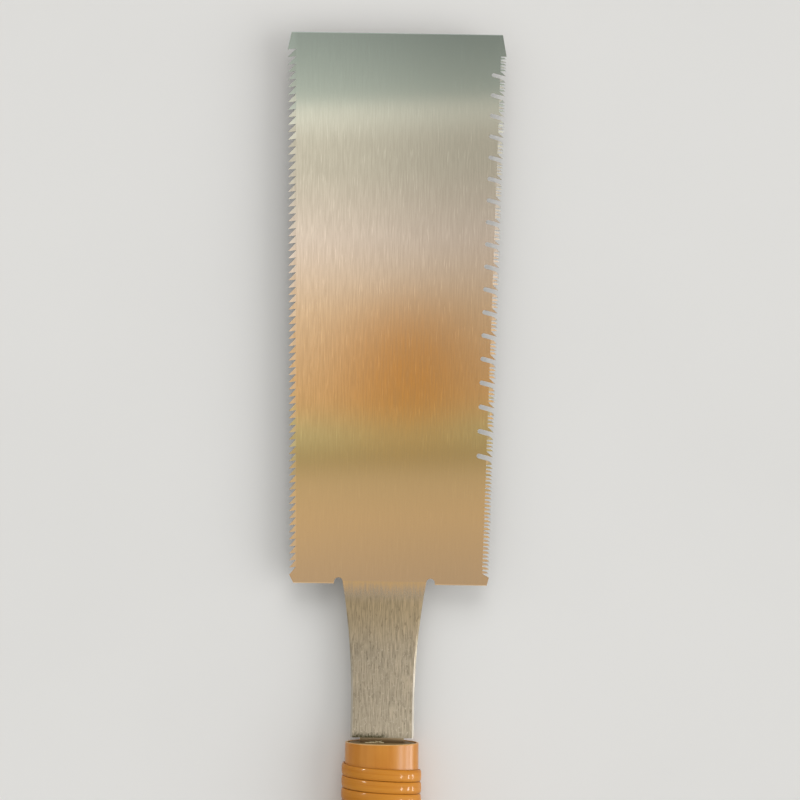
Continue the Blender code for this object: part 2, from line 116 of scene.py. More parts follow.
# %% Helpers for numbers
def add_node(tree, kind, inputs=None, **settings):
    """Add a node, change its settings, and set or link its inputs by name or number."""
    node = tree.nodes.new(kind)
    for name, value in settings.items():
        setattr(node, name, value)
    for key, value in (inputs or {}).items():
        if isinstance(value, bpy.types.NodeSocket):
            tree.links.new(value, node.inputs[key])
        else:
            node.inputs[key].default_value = value
    return node


def calc(tree, operation, *values):
    """One step of arithmetic on numbers and sockets."""
    return add_node(tree, "ShaderNodeMath", dict(enumerate(values)), operation=operation).outputs[0]


def mask(tree, value, start, end, low=0.0, high=1.0):
    """Soft step: low before start, high after end, and smooth between them."""
    inputs = {0: value, 1: start, 2: end, 3: low, 4: high}
    return add_node(tree, "ShaderNodeMapRange", inputs, interpolation_type="SMOOTHSTEP").outputs[0]


def blend(tree, share, first, second):
    """The first value where the share is 0, the second where it is 1, and both in between."""
    return calc(tree, "MULTIPLY_ADD", share, calc(tree, "SUBTRACT", second, first), first)


def split(tree, vector):
    """The three numbers of a vector."""
    return add_node(tree, "ShaderNodeSeparateXYZ", {0: vector}).outputs


print("helpers for numbers: add_node, calc, mask, blend, split")

# %% [markdown]
# The other helpers are about what is seen: mixing two colours, drawing noise out into lines, and tilting
# the surface by a height, as fine scratches do. The last one starts a finish. It works on object
# coordinates, which are the metres of the saw itself, so a scratch keeps its size and place on every piece.

# %% Helpers for finishes
def mix_colour(tree, share, first, second, kind="MIX"):
    """Mix two colours, by a share that is a number or a socket."""
    inputs = {0: share, 6: first, 7: second}
    return add_node(tree, "ShaderNodeMix", inputs, data_type="RGBA", blend_type=kind).outputs[2]


def stretched_noise(tree, place, scale, detail=2.0, roughness=0.5):
    """Noise with its own scale along each axis: a small scale draws it out into lines."""
    mapped = add_node(tree, "ShaderNodeMapping", {"Vector": place, "Scale": scale})
    inputs = {"Vector": mapped.outputs[0], "Scale": 1.0, "Detail": detail, "Roughness": roughness}
    return add_node(tree, "ShaderNodeTexNoise", inputs).outputs[0]


def add_bump(tree, shader, height, distance):
    """Let a height in the tree tilt the shader's normal."""
    inputs = {"Strength": 1.0, "Distance": distance, "Height": height}
    tree.links.new(add_node(tree, "ShaderNodeBump", inputs).outputs[0], shader.inputs["Normal"])


def new_finish(name):
    """A material with its node tree, its Principled shader and its object coordinates."""
    material = bpy.data.materials.new(name)
    material.use_nodes = True
    tree = material.node_tree
    shader = tree.nodes["Principled BSDF"]
    place = add_node(tree, "ShaderNodeTexCoord").outputs["Object"]
    return material, tree, shader, place


print("helpers for finishes: mix_colour, stretched_noise, add_bump, new_finish")

# %% [markdown]
# ## The floor
#
# The saw lies on a plain pale floor. One large square is enough: it runs far past the view, so that no
# edge shows from the side, and it has no gloss, so that no lamp shows in it. It belongs to the stage and
# not to the saw.

# %% Floor
FLOOR_HALF_SIZE = 6.0
FLOOR_COLOUR = (0.79, 0.785, 0.77, 1.0)
FLOOR_SHADE = (0.765, 0.76, 0.745, 1.0)
FLOOR_CLOUDS = (6.0, 6.0, 6.0)
FLOOR_LEVELS = (0.3, 0.9)

floor_mesh = bpy.data.meshes.new("floor")
bm = bmesh.new()
bmesh.ops.create_grid(bm, x_segments=1, y_segments=1, size=FLOOR_HALF_SIZE)
bm.to_mesh(floor_mesh)
bm.free()
floor = bpy.data.objects.new("floor", floor_mesh)
scene.collection.objects.link(floor)
floor_finish, tree, shader, place = new_finish("pale_floor")
clouds = stretched_noise(tree, place, FLOOR_CLOUDS, detail=3.0)
colour = mix_colour(tree, mask(tree, clouds, *FLOOR_LEVELS), FLOOR_COLOUR, FLOOR_SHADE)
tree.links.new(colour, shader.inputs["Base Color"])
shader.inputs["Roughness"].default_value = 0.85
shader.inputs["Specular IOR Level"].default_value = 0.0
floor_mesh.materials.append(floor_finish)
print("floor at height 0,", 2 * FLOOR_HALF_SIZE, "m wide")

# %% [markdown]
# ## The sky over the saw
#
# Ground steel has hardly any colour of its own: a saw plate shows what hangs above it. In the photograph
# that looks like a dim ceiling over the toe, a pale edge, a bright wall, a warm lamp and a tan shelf. The
# plate could be painted with these colours, but then they would stay on it in every other light. Here they
# are a small patch of the sky straight overhead, and the rest of the sky is plain. First, a direction in
# the sky is turned into the place on the plate that mirrors it into the camera, so that the patch is laid
# out in metres.

# %% Places in the sky
NEAR_HORIZON = 0.001
MIRRORED_TILT = 0.045

world = bpy.data.worlds.new("sky")
world.use_nodes = True
scene.world = world
tree = world.node_tree
tree.nodes.clear()
east, north, up = split(tree, add_node(tree, "ShaderNodeTexCoord").outputs["Generated"])
up = calc(tree, "MAXIMUM", up, NEAR_HORIZON)
across = calc(tree, "MULTIPLY_ADD", calc(tree, "DIVIDE", east, up), CAMERA_HEIGHT, VIEW_CENTRE.x)
along = calc(tree, "MULTIPLY_ADD", calc(tree, "DIVIDE", north, up), CAMERA_HEIGHT, VIEW_CENTRE.y - HEEL)
along = calc(tree, "MULTIPLY_ADD", across, -MIRRORED_TILT, along)
print(f"the middle of the view mirrors the point {VIEW_CENTRE.y - HEEL:.4f} m from the heel")

# %% [markdown]
# The patch is a ramp of colours from the heel to the toe. A ramp has a few stops and passes evenly from one
# to the next, as a blurred reflection does. The core of the warm lamp is round and not a band, so it is
# laid over the ramp as a soft oval spot.

# %% What the plate mirrors
# Distance from the heel, and colour
MIRRORED = {
    "shelf": (0.000, (0.75, 0.52, 0.30)),
    "shelf_light": (0.030, (0.88, 0.59, 0.29)),
    "shelf_end": (0.0475, (0.81, 0.565, 0.27)),
    "shadow_line": (0.0580, (0.58, 0.425, 0.175)),
    "lamp_rim": (0.070, (0.755, 0.645, 0.30)),
    "lamp": (0.084, (0.93, 0.585, 0.265)),
    "lamp_glow": (0.125, (1.00, 0.73, 0.46)),
    "wall": (0.157, (1.04, 0.89, 0.75)),
    "wall_shade": (0.190, (0.81, 0.77, 0.63)),
    "wall_top": (0.2035, (0.81, 0.775, 0.635)),
    "cornice": (0.2130, (1.00, 1.01, 0.86)),
    "cornice_edge": (0.2185, (0.94, 0.97, 0.83)),
    "ceiling_edge": (0.2225, (0.59, 0.68, 0.60)),
    "ceiling": (PLATE_LENGTH, (0.38, 0.455, 0.415)),
}
AMBER = (0.78, 0.295, 0.008, 1.0)
AMBER_PLACE = (0.009, 0.096)
AMBER_REACH = (0.027, 0.035)
AMBER_FADE = (0.3, 1.5)

ramp = add_node(tree, "ShaderNodeValToRGB", {0: calc(tree, "DIVIDE", along, PLATE_LENGTH)})
stops = ramp.color_ramp.elements
stops.remove(stops[0])
for index, (distance, colour) in enumerate(MIRRORED.values()):
    stop = stops[0] if index == 0 else stops.new(distance / PLATE_LENGTH)
    stop.position = distance / PLATE_LENGTH
    stop.color = (*colour, 1.0)
squares = []
for value, middle, reach in zip((across, along), AMBER_PLACE, AMBER_REACH):
    offset = calc(tree, "DIVIDE", calc(tree, "SUBTRACT", value, middle), reach)
    squares.append(calc(tree, "POWER", offset, 2.0))
from_amber = calc(tree, "SQRT", calc(tree, "ADD", *squares))
overhead = mix_colour(tree, mask(tree, from_amber, *AMBER_FADE, 1.0, 0.0), ramp.outputs[0], AMBER)
print("the plate mirrors:", ", ".join(MIRRORED))

# %% [markdown]
# The room is brighter on the left, most of all over the toe, so a tone that falls from left to right is
# laid over the patch. The teeth lean to both sides and mirror what is beside the plate's own reflection,
# so the patch runs on there, a little brighter, and fades out at its border.

# %% Tone and border of the patch
TONE_LEFT = 0.33
TONE_RIGHT = -0.37
TONE_BESIDE = 0.22
TONE_AT_HEEL = 0.15
TONE_HALF_WIDTH = 0.06
TONE_GROWS = (0.02, 0.17)
BESIDE_PLATE = (0.060, 0.085)
PATCH_HALF_WIDTH = 0.20
PATCH_PAST_PLATE = 0.01
PATCH_MARGIN = 0.06

aside = calc(tree, "ABSOLUTE", across)
slope = mask(tree, across, -TONE_HALF_WIDTH, TONE_HALF_WIDTH, TONE_LEFT, TONE_RIGHT)
tone = calc(tree, "MULTIPLY", slope, mask(tree, along, *TONE_GROWS, TONE_AT_HEEL, 1.0))
tone = blend(tree, mask(tree, aside, *BESIDE_PLATE), tone, TONE_BESIDE)
overhead = mix_colour(tree, 1.0, overhead, calc(tree, "ADD", tone, 1.0), "MULTIPLY")
past_plate = calc(tree, "ABSOLUTE", calc(tree, "SUBTRACT", along, PLATE_LENGTH / 2))
past_plate = calc(tree, "SUBTRACT", past_plate, PLATE_LENGTH / 2)
in_width = mask(tree, aside, PATCH_HALF_WIDTH, PATCH_HALF_WIDTH + PATCH_MARGIN, 1.0, 0.0)
in_length = mask(tree, past_plate, PATCH_PAST_PLATE, PATCH_MARGIN, 1.0, 0.0)
in_patch = calc(tree, "MULTIPLY", in_width, in_length)
print("patch", 2 * PATCH_HALF_WIDTH, "m wide, with a soft border of", PATCH_MARGIN, "m")

# %% [markdown]
# ## The plain sky
#
# The rest of the sky lights the scene, and is brighter overhead than low down. What the camera sees past
# the floor, and what steel and lacquer mirror, is a pale backdrop that lights nothing. It starts at the
# horizon with the tone of the far floor, shades off above it, and passes into the plain sky higher up. Bare
# steel mirrors that gradient and stands out against the floor from any side. One even grey could do for
# both, but the plate would then vanish against the floor.

# %% Sky all round
SKY_LOW = (0.20, 0.20, 0.20, 1.0)
SKY_HIGH = (0.62, 0.62, 0.61, 1.0)
SKY_CLIMB = (0.05, 0.85)
BACKDROP_LOW = (0.71, 0.705, 0.69, 1.0)
BACKDROP_HIGH = (0.40, 0.40, 0.395, 1.0)
BACKDROP_CLIMB = (0.0, 0.35)
BACKDROP_END = (0.35, 0.75)

plain_sky = mix_colour(tree, mask(tree, up, *SKY_CLIMB), SKY_LOW, SKY_HIGH)
backdrop = mix_colour(tree, mask(tree, up, *BACKDROP_CLIMB), BACKDROP_LOW, BACKDROP_HIGH)
backdrop = mix_colour(tree, mask(tree, up, *BACKDROP_END), backdrop, SKY_HIGH)
ray = add_node(tree, "ShaderNodeLightPath").outputs
seen = calc(tree, "MAXIMUM", ray["Is Camera Ray"], ray["Is Glossy Ray"])
seen = calc(tree, "MAXIMUM", seen, ray["Is Transmission Ray"])
surround = mix_colour(tree, seen, plain_sky, backdrop)
sky = mix_colour(tree, in_patch, surround, overhead)
background = add_node(tree, "ShaderNodeBackground", {"Color": sky, "Strength": 1.0})
add_node(tree, "ShaderNodeOutputWorld", {"Surface": background.outputs[0]})
print("sky of", len(tree.nodes), "nodes")

# %% [markdown]
# ## Soft light
#
# Soft light does the rest: a broad glow low on the right, with weaker ones on the left and in front of the
# toe. Area lamps could give it, but a low one leaves a glaring pool on the floor in front of itself. A sun
# lamp lights all of the floor alike, and with a wide angle it is as soft as a large lamp. These three stay
# out of reflections, because their large shapes would wash over the lacquer.

# %% Soft light
# Direction that the light comes from, its strength, and how wide it looks in degrees
SOFT_LIGHTS = {
    "glow_right": ((2.00, -0.42, 1.20), 1.38, 52),
    "glow_left": ((-2.00, 0.48, 1.10), 0.06, 25),
    "glow_toe": ((0.20, 1.98, 2.10), 0.72, 38),
}

for name, (direction, strength, width) in SOFT_LIGHTS.items():
    glow_data = bpy.data.lights.new(name, "SUN")
    glow_data.energy = strength
    glow_data.angle = radians(width)
    glow = bpy.data.objects.new(name, glow_data)
    glow.rotation_euler = Vector(direction).to_track_quat("Z", "Y").to_euler()
    glow.visible_glossy = False
    scene.collection.objects.link(glow)
print("soft light:", ", ".join(SOFT_LIGHTS))

# %% [markdown]
# ## The window
#
# What gloss shows is a window: three small panes over each other on the right, which draw the row of short
# highlights on each turn of the winding, the sheen on the collar and the light line on the neck's chamfer,
# and one more on the left. A pane is an area lamp that is seen by gloss alone, so it adds no light to the
# rest. All stand well away from the point straight overhead, because the plate would mirror them there.

# %% Window panes
PANE_SIZE = (0.30, 0.11)
PANE_DISTANCE = 1.20
PANE_STATION = -0.22
# Elevation in degrees, and watts
RIGHT_PANES = {"pane_low": (3, 3.1), "pane_middle": (21, 2.9), "pane_high": (43, 2.8)}
LEFT_PANE_SPOT = (-0.75, 0.42, 0.95)
LEFT_PANE_WATTS = 4.3
PANE_TARGET = Vector((0.0, 0.02, 0.0))


def add_pane(name, spot, watts):
    """A small rectangular lamp that faces the saw, and that only gloss shows."""
    pane_data = bpy.data.lights.new(name, "AREA")
    pane_data.shape = "RECTANGLE"
    pane_data.size, pane_data.size_y = PANE_SIZE
    pane_data.energy = watts
    pane = bpy.data.objects.new(name, pane_data)
    pane.location = spot
    pane.rotation_euler = (PANE_TARGET - pane.location).to_track_quat("-Z", "Y").to_euler()
    pane.visible_camera = False
    pane.visible_diffuse = False
    scene.collection.objects.link(pane)


add_pane("pane_left", LEFT_PANE_SPOT, LEFT_PANE_WATTS)
for name, (elevation, watts) in RIGHT_PANES.items():
    angle = radians(elevation)
    add_pane(name, (PANE_DISTANCE * cos(angle), PANE_STATION, PANE_DISTANCE * sin(angle)), watts)
print("panes on the right:", ", ".join(RIGHT_PANES), "and one on the left")

# %% [markdown]
# ## Ground steel: the plate
#
# The plate is ground lengthwise on a fine wheel and is almost a mirror along its length. Each fine groove
# tilts the surface sideways, so reflections smear across the plate: that is anisotropy. The grooves show
# most in the middle of the plate, with some short bright flecks, and are almost polished away at the toe
# and the heel. They could be modelled one by one, but there are thousands of them, so noise that is drawn
# out along the plate stands for them.

# %% Lines on the plate
PLATE_STEEL = (0.61, 0.585, 0.55, 1.0)
PLATE_DARK = (0.54, 0.515, 0.48, 1.0)
FINE_LINES = (2600.0, 120.0, 1.0)
FINE_SHARE = 0.4
STREAKS = (1300.0, 75.0, 1.0)
LINE_LEVELS = (0.36, 0.64)
LINES_FROM_HEEL = (0.045, 0.085)
LINES_FROM_TOE = (0.028, 0.060)
POLISHED_LINES = 0.2
HALF_TONE = 0.5

steel, tree, shader, place = new_finish("ground_steel")
x, y, _ = split(tree, place)
past_heel = calc(tree, "SUBTRACT", y, HEEL)
before_toe = calc(tree, "SUBTRACT", TOE, y)
fine = stretched_noise(tree, place, FINE_LINES)
streaks = stretched_noise(tree, place, STREAKS, detail=3.0)
lines = blend(tree, FINE_SHARE, streaks, fine)
off_heel = mask(tree, past_heel, *LINES_FROM_HEEL)
off_toe = mask(tree, before_toe, *LINES_FROM_TOE)
shown = blend(tree, calc(tree, "MULTIPLY", off_heel, off_toe), POLISHED_LINES, 1.0)
line_tone = blend(tree, shown, HALF_TONE, mask(tree, lines, *LINE_LEVELS))
plate_colour = mix_colour(tree, line_tone, PLATE_DARK, PLATE_STEEL)
print("lines drawn out to", round(FINE_LINES[0] / FINE_LINES[1]), "times their width")

# %% [markdown]
# The steel is lighter along the rip teeth, where the file has cut it, and a painted highlight runs along the
# cut edges at toe and heel. All of these are places on the plate, so distances from its borders find them.

# %% Flecks of the plate, and painted highlights along its edges
FLECK_STEEL = (0.72, 0.695, 0.66, 1.0)
EDGE_HIGHLIGHT = (0.80, 0.79, 0.76, 1.0)
FLECKS = (1600.0, 85.0, 1.0)
FLECK_LEVELS = (0.60, 0.72)
FLECK_STRENGTH = 0.7
ROOT_STRIP = 0.0050
ROOT_STRENGTH = 0.35
HIGHLIGHT_STRIP = 0.0004
BESIDE_NECK = (0.0205, 0.0235)
PLATE_GLOSS = (0.070, 0.058)
GLOSS_LEVELS = (0.3, 0.7)

flecks = stretched_noise(tree, place, FLECKS)
flecked = calc(tree, "MULTIPLY", mask(tree, flecks, *FLECK_LEVELS, 0.0, FLECK_STRENGTH), shown)
from_points = calc(tree, "SUBTRACT", x, blade_low.x)
tooth_roots = mask(tree, from_points, ROOT_STRIP, ROOT_STRIP / 2, 0.0, ROOT_STRENGTH)
plate_colour = mix_colour(tree, calc(tree, "MAXIMUM", flecked, tooth_roots), plate_colour, FLECK_STEEL)
off_middle = calc(tree, "ABSOLUTE", x)
# painted highlight: a thin bright strip along the cut edges at toe and heel
toe_highlight = mask(tree, before_toe, HIGHLIGHT_STRIP, HIGHLIGHT_STRIP / 2)
heel_highlight = mask(tree, past_heel, HIGHLIGHT_STRIP, HIGHLIGHT_STRIP / 2)
heel_highlight = calc(tree, "MULTIPLY", heel_highlight, mask(tree, off_middle, *BESIDE_NECK))
plate_colour = mix_colour(tree, calc(tree, "MAXIMUM", toe_highlight, heel_highlight), plate_colour, EDGE_HIGHLIGHT)
plate_gloss = mask(tree, lines, *GLOSS_LEVELS, *PLATE_GLOSS)
print("plate finish with", len(tree.nodes), "nodes")

# %% [markdown]
# ## Ground steel: the neck
#
# The neck was left from a coarser wheel: it is duller, with scratches one can feel. It could have a
# material of its own, but plate, neck and tang are one piece of steel, and the polish of the plate fades
# out over a finger's width at the heel. So the neck's colour is worked out in the same tree, and the two
# are joined at the end.

# %% Scratches on the neck
NECK_STEEL = (0.502, 0.439, 0.335, 1.0)
NECK_DARK = (0.270, 0.234, 0.173, 1.0)
NECK_SCRATCHES = (2500.0, 140.0, 1.0)
SCRATCH_SHARE = 0.72
NECK_SMEARS = (900.0, 65.0, 1.0)
SCRATCH_LEVELS = (0.34, 0.64)
COARSE_FROM = (0.002, 0.012)
COARSE_AT_HEEL = 0.45

behind_heel = calc(tree, "SUBTRACT", HEEL, y)
scratches = stretched_noise(tree, place, NECK_SCRATCHES, detail=4.0, roughness=0.6)
smears = stretched_noise(tree, place, NECK_SMEARS, detail=3.0)
marks = blend(tree, SCRATCH_SHARE, smears, scratches)
coarse = mask(tree, behind_heel, *COARSE_FROM, COARSE_AT_HEEL, 1.0)
mark_tone = blend(tree, coarse, HALF_TONE, mask(tree, marks, *SCRATCH_LEVELS))
neck_colour = mix_colour(tree, mark_tone, NECK_DARK, NECK_STEEL)
print("scratches drawn out to", round(NECK_SCRATCHES[0] / NECK_SCRATCHES[1]), "times their width")

# %% [markdown]
# Between the scratches lie dark pits, and small bright nicks run across them. Both are noise too, but in
# short grains, of which only the highest or lowest parts show. Turning the pattern before it is stretched
# gives a second set of nicks that run at a slant.

# %% Nicks and pits on the neck
NICK_STEEL = (0.545, 0.48, 0.38, 1.0)
PIT_STEEL = (0.150, 0.130, 0.092, 1.0)
NICKS = (1100.0, 800.0, 1.0)
NICK_LEVELS = (0.57, 0.71)
NICKED_FROM = (0.012, 0.030)
SLANTED_NICKS = (70.0, 1500.0, 1.0)
SLANTED_LEVELS = (0.68, 0.74)
SLANTED_STRENGTH = 0.8
SLANT = (0.0, 0.0, radians(-25))
PITS = (750.0, 230.0, 1.0)
PIT_LEVELS = (0.43, 0.31)
PIT_STRENGTH = 0.6

nicks = stretched_noise(tree, place, NICKS, detail=3.0, roughness=0.6)
turned = add_node(tree, "ShaderNodeMapping", {"Vector": place, "Rotation": SLANT}).outputs[0]
slanted = stretched_noise(tree, turned, SLANTED_NICKS)
slanted = mask(tree, slanted, *SLANTED_LEVELS, 0.0, SLANTED_STRENGTH)
nicked = calc(tree, "MAXIMUM", mask(tree, nicks, *NICK_LEVELS), slanted)
nicked = calc(tree, "MULTIPLY", nicked, mask(tree, behind_heel, *NICKED_FROM))
neck_colour = mix_colour(tree, nicked, neck_colour, NICK_STEEL)
pits = stretched_noise(tree, place, PITS, detail=3.0, roughness=0.6)
pitted = calc(tree, "MULTIPLY", mask(tree, pits, *PIT_LEVELS, 0.0, PIT_STRENGTH), coarse)
neck_colour = mix_colour(tree, pitted, neck_colour, PIT_STEEL)
print("nicks start", NICKED_FROM[0], "m behind the heel")

# %% [markdown]
# Towards the heel the neck has a painted warm reflection, and painted light makes it a little lighter there
# and on its right side than on its left. Where it ends, dirt and painted shade darken it in front of the
# handle, most of it on the left, with a ragged border that follows the scratches. The tang behind the
# shoulders was never cleaned at all and is brown.

# %% Painted light and shade, dirt and tang
HEEL_REFLECTION_TINT = (1.00, 0.93, 0.79, 1.0)
TINTED_FROM = (0.036, 0.008)
LIGHTER_FROM = (NECK_LENGTH - 0.015, 0.006)
LENGTH_LIGHT_TONES = (1.0, 1.06)
NECK_HALF_WIDTH = 0.013
WIDTH_LIGHT_TONES = (0.94, 1.04)
MOUTH_GRIME_AND_SHADE = (0.060, 0.055, 0.026, 1.0)
MOUTH_DARK_REACH = (0.0082, 0.0045)
MOUTH_DARK_RAGGED = 0.005
MOUTH_DARK_SIDE = (0.0040, -0.0005)
MOUTH_DARK_ON_RIGHT = 0.25
TANG_BROWN = (0.30, 0.230, 0.140, 1.0)
SHOULDER_LINE = 0.0001

# painted light: the neck is made lighter towards the heel and on its right side
painted_light_by_length = mask(tree, behind_heel, *LIGHTER_FROM, *LENGTH_LIGHT_TONES)
painted_light_by_width = mask(tree, x, -NECK_HALF_WIDTH, NECK_HALF_WIDTH, *WIDTH_LIGHT_TONES)
neck_colour = mix_colour(tree, 1.0, neck_colour, calc(tree, "MULTIPLY", painted_light_by_length, painted_light_by_width), "MULTIPLY")
# painted warm reflection on the neck near the heel
near_heel = mask(tree, behind_heel, *TINTED_FROM)
neck_colour = mix_colour(tree, near_heel, neck_colour, HEEL_REFLECTION_TINT, "MULTIPLY")
# dirt and painted shade darken the neck in front of the handle, more on the left
past_shoulder = calc(tree, "SUBTRACT", y, SHOULDER)
dark_border = calc(tree, "MULTIPLY_ADD", calc(tree, "ADD", marks, nicks), MOUTH_DARK_RAGGED, past_shoulder)
on_left = mask(tree, x, *MOUTH_DARK_SIDE, MOUTH_DARK_ON_RIGHT, 1.0)
grime_and_shade = calc(tree, "MULTIPLY", mask(tree, dark_border, *MOUTH_DARK_REACH), on_left)
neck_colour = mix_colour(tree, grime_and_shade, neck_colour, MOUTH_GRIME_AND_SHADE)
on_tang = mask(tree, past_shoulder, SHOULDER_LINE, -SHOULDER_LINE)
neck_colour = mix_colour(tree, on_tang, neck_colour, TANG_BROWN)
print("dirt up to", MOUTH_DARK_REACH[0], "m in front of the shoulders")

# %% [markdown]
# The neck's chamfers are rubbed light by hands and carry a painted highlight, with a soft satin look. They
# could be a piece of their own, but that isn't needed: a chamfer is where the surface leans sideways, and
# the normal's x tells that.

# %% Chamfers of the neck
CHAMFER_WEAR_AND_HIGHLIGHT = (0.56, 0.52, 0.45, 1.0)
CHAMFER_LEAN = (0.25, 0.45)
CHAMFER_DULLNESS = 0.25
NECK_GLOSS = (0.42, 0.30)

lean = split(tree, add_node(tree, "ShaderNodeNewGeometry").outputs["Normal"])["X"]
chamfer = mask(tree, calc(tree, "ABSOLUTE", lean), *CHAMFER_LEAN)
# the chamfers are painted lighter: wear from hands and a painted highlight
neck_colour = mix_colour(tree, chamfer, neck_colour, CHAMFER_WEAR_AND_HIGHLIGHT)
neck_gloss = mask(tree, marks, *GLOSS_LEVELS, *NECK_GLOSS)
neck_gloss = calc(tree, "MULTIPLY_ADD", chamfer, CHAMFER_DULLNESS, neck_gloss)
print("steel with chamfers:", len(tree.nodes), "nodes")

# %% [markdown]
# ## Plate and neck together
#
# The polish ends in an arch at the heel, with a ragged border, because the wheel lifts off there. The
# same mask joins the colours, the gloss and the depth of the grooves. The tangent is set sideways, so that
# the smear of the reflections runs across the grooves.

# %% Steel on the blade
POLISH_FADE = (-0.006, 0.008)
POLISH_RAGGED = 0.007
ARCH_HALF_WIDTH = 0.0180
ARCH_STEEPNESS = 3.0
GROOVE_DEPTH = 2e-6

to_side = calc(tree, "MAXIMUM", calc(tree, "SUBTRACT", off_middle, ARCH_HALF_WIDTH), 0.0)
arched = calc(tree, "MULTIPLY_ADD", to_side, ARCH_STEEPNESS, past_heel)
ragged = calc(tree, "MULTIPLY_ADD", scratches, POLISH_RAGGED, arched)
on_plate = mask(tree, ragged, *POLISH_FADE)
tree.links.new(mix_colour(tree, on_plate, neck_colour, plate_colour), shader.inputs["Base Color"])
tree.links.new(blend(tree, on_plate, neck_gloss, plate_gloss), shader.inputs["Roughness"])
add_bump(tree, shader, blend(tree, on_plate, marks, lines), GROOVE_DEPTH)
shader.inputs["Metallic"].default_value = 1.0
shader.inputs["Anisotropic"].default_value = 0.95
sideways = add_node(tree, "ShaderNodeCombineXYZ", {"X": 1.0})
tree.links.new(sideways.outputs[0], shader.inputs["Tangent"])

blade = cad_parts["saw_blade"]
blade.data.materials.clear()
blade.data.materials.append(steel)
print("steel on", blade.name, "with", len(tree.nodes), "nodes")

# %% [markdown]
# ## The handle's oval
#
# The handle is an oval that widens slowly towards the butt. Its pieces are easiest to make round: a
# profile is spun about the handle's axis on a circle of one metre, and each point is then set down on the
# oval at its angle, as far out from it as the profile says. The oval's two sizes come from the collar's
# and the wooden core's boxes.

# %% Sizes of the oval
BUTT_CHAMFER = 0.0020


def half_sizes(low, high):
    """Half width of a box, and how far it reaches from the handle's axis in height."""
    return Vector(((high.x - low.x) / 2, max(high.z - AXIS_HEIGHT, AXIS_HEIGHT - low.z)))


COLLAR_HALF = half_sizes(collar_low, collar_high)
BUTT_HALF = half_sizes(wood_low, wood_high)


def oval_at(station):
    """Half width and half thickness of the handle's outer oval at a station along y."""
    share = (collar_low.y - station) / (collar_low.y - BUTT - BUTT_CHAMFER)
    return COLLAR_HALF.lerp(BUTT_HALF, share)


def set_on_oval(bm):
    """Move points from a circle of one metre to the oval: the radius beyond 1 is the height over it."""
    for vert in bm.verts:
        angle = atan2(vert.co.z, vert.co.x)
        height = hypot(vert.co.x, vert.co.z) - 1.0
        half_width, half_thickness = oval_at(vert.co.y)
        normal = Vector((cos(angle) / half_width, sin(angle) / half_thickness)).normalized()
        vert.co.x = half_width * cos(angle) + height * normal.x
        vert.co.z = half_thickness * sin(angle) + height * normal.y + AXIS_HEIGHT


print("oval at the rim:", tuple(round(size, 5) for size in oval_at(RIM)))

# %% [markdown]
# Two steps come back with each piece. One draws the profile that is spun. The other turns the finished
# bmesh into an object, shades it smooth except at hard edges, and hides the pieces of the construction that
# it stands for.

# %% Helpers for pieces
SMOOTH_ANGLE = radians(40)


def add_profile(bm, points):
    """Draw a closed profile of (station, height) points under the handle, ready to be spun."""
    verts = [bm.verts.new((0.0, station, -1.0 - height)) for station, height in points]
    edges = [bm.edges.new(pair) for pair in zip(verts, verts[1:] + verts[:1])]
    return verts + edges


def finish_piece(bm, name, material, slot, *nodes):
    """Turn a bmesh into a smooth piece that rides on the saw, and hide the construction nodes it stands for.
    """
    mesh = bpy.data.meshes.new(name)
    bm.to_mesh(mesh)
    bm.free()
    mesh.shade_smooth()
    mesh.set_sharp_from_angle(angle=SMOOTH_ANGLE)
    mesh.materials.append(material)
    piece = bpy.data.objects.new(name, mesh)
    scene.collection.objects.link(piece)
    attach(piece, "root")
    if nodes:
        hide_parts(*nodes)
    print(name, "has", len(mesh.polygons), "faces")


print("helpers for pieces: add_profile, finish_piece")

# %% [markdown]
# ## The collar's finish
#
# The collar is a thin orange sleeve round the mouth, smooth and glossy. The colour is a little cloudy, with
# faint lines along the sleeve, and the front rim is painted pale, for the wear where hands touch it and for
# a painted highlight along the rim. A clear coat over a dull base gives a soft sheen without washing out the
# orange.

# %% Collar finish
COLLAR_ORANGE = (0.615, 0.246, 0.029, 1.0)
COLLAR_DEEP = (0.55, 0.199, 0.017, 1.0)
COLLAR_WEAR_AND_HIGHLIGHT = (0.74, 0.48, 0.21, 1.0)
COLLAR_CLOUDS = (90.0, 60.0, 90.0)
COLLAR_LINES = (420.0, 18.0, 420.0)
CLOUD_SHARE = 0.5
COLLAR_LEVELS = (0.35, 0.65)
COLLAR_GLOSS = (0.30, 0.42)
COLLAR_RELIEF = 2e-5
PALE_RIM_WIDTH = 0.0005
PALE_RIM_LEVELS = (0.25, 0.55)
PALE_RIM_LEAST = 0.4

collar_finish, tree, shader, place = new_finish("orange_collar")
behind_rim = calc(tree, "SUBTRACT", RIM, split(tree, place)["Y"])
clouds = stretched_noise(tree, place, COLLAR_CLOUDS, detail=3.0)
drawn = stretched_noise(tree, place, COLLAR_LINES)
patches = blend(tree, CLOUD_SHARE, drawn, clouds)
colour = mix_colour(tree, mask(tree, patches, *COLLAR_LEVELS), COLLAR_DEEP, COLLAR_ORANGE)
# the front rim is painted pale: wear from hands and a painted highlight
rim_patches = mask(tree, clouds, *PALE_RIM_LEVELS, PALE_RIM_LEAST, 1.0)
rim_wear_and_highlight = calc(tree, "MULTIPLY", mask(tree, behind_rim, PALE_RIM_WIDTH, 0.0), rim_patches)
tree.links.new(mix_colour(tree, rim_wear_and_highlight, colour, COLLAR_WEAR_AND_HIGHLIGHT), shader.inputs["Base Color"])
tree.links.new(mask(tree, clouds, *GLOSS_LEVELS, *COLLAR_GLOSS), shader.inputs["Roughness"])
add_bump(tree, shader, patches, COLLAR_RELIEF)
shader.inputs["Specular IOR Level"].default_value = 0.10
shader.inputs["Coat Weight"].default_value = 0.65
shader.inputs["Coat Roughness"].default_value = 0.29
print("collar finish with", len(tree.nodes), "nodes")

